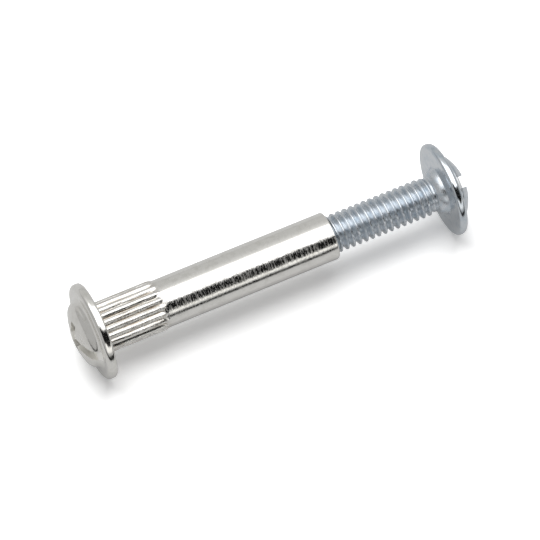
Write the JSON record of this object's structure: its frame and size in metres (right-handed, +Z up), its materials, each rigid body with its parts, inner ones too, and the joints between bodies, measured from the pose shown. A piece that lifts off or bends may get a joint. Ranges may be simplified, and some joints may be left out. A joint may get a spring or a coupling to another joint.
{
  "type": "binding barrel screw",
  "caption": "Binding barrel screw: a ribbed, domed-head barrel nut and the domed-head machine screw that turns into its open end to clamp panels or a stack of sheets between the two heads.",
  "frame": {"origin": "on the common axis, in the plane of the barrel nut head's bearing face", "axes": "+X along the common axis, from the nut's head towards the screw's head; +Z up, with the pair lying on the rims of its two heads"},
  "size_m": [0.0425, 0.01, 0.01],
  "materials": {
    "nickel_plate": "bright nickel plate over turned steel, slightly warm, with fine turning lines",
    "zinc_plate": "bright blue-passivated zinc plate over rolled steel"
  },
  "bodies": {
    "barrel_nut": {"barrel_nut": "nickel_plate"},
    "screw": {"screw": "zinc_plate"}
  },
  "joints": [
    {"name": "screw_travel", "type": "slide", "parent": "barrel_nut", "child": "screw", "axis": [1, 0, 0], "range_m": [-0.0112, 0.0091]}
  ]
}
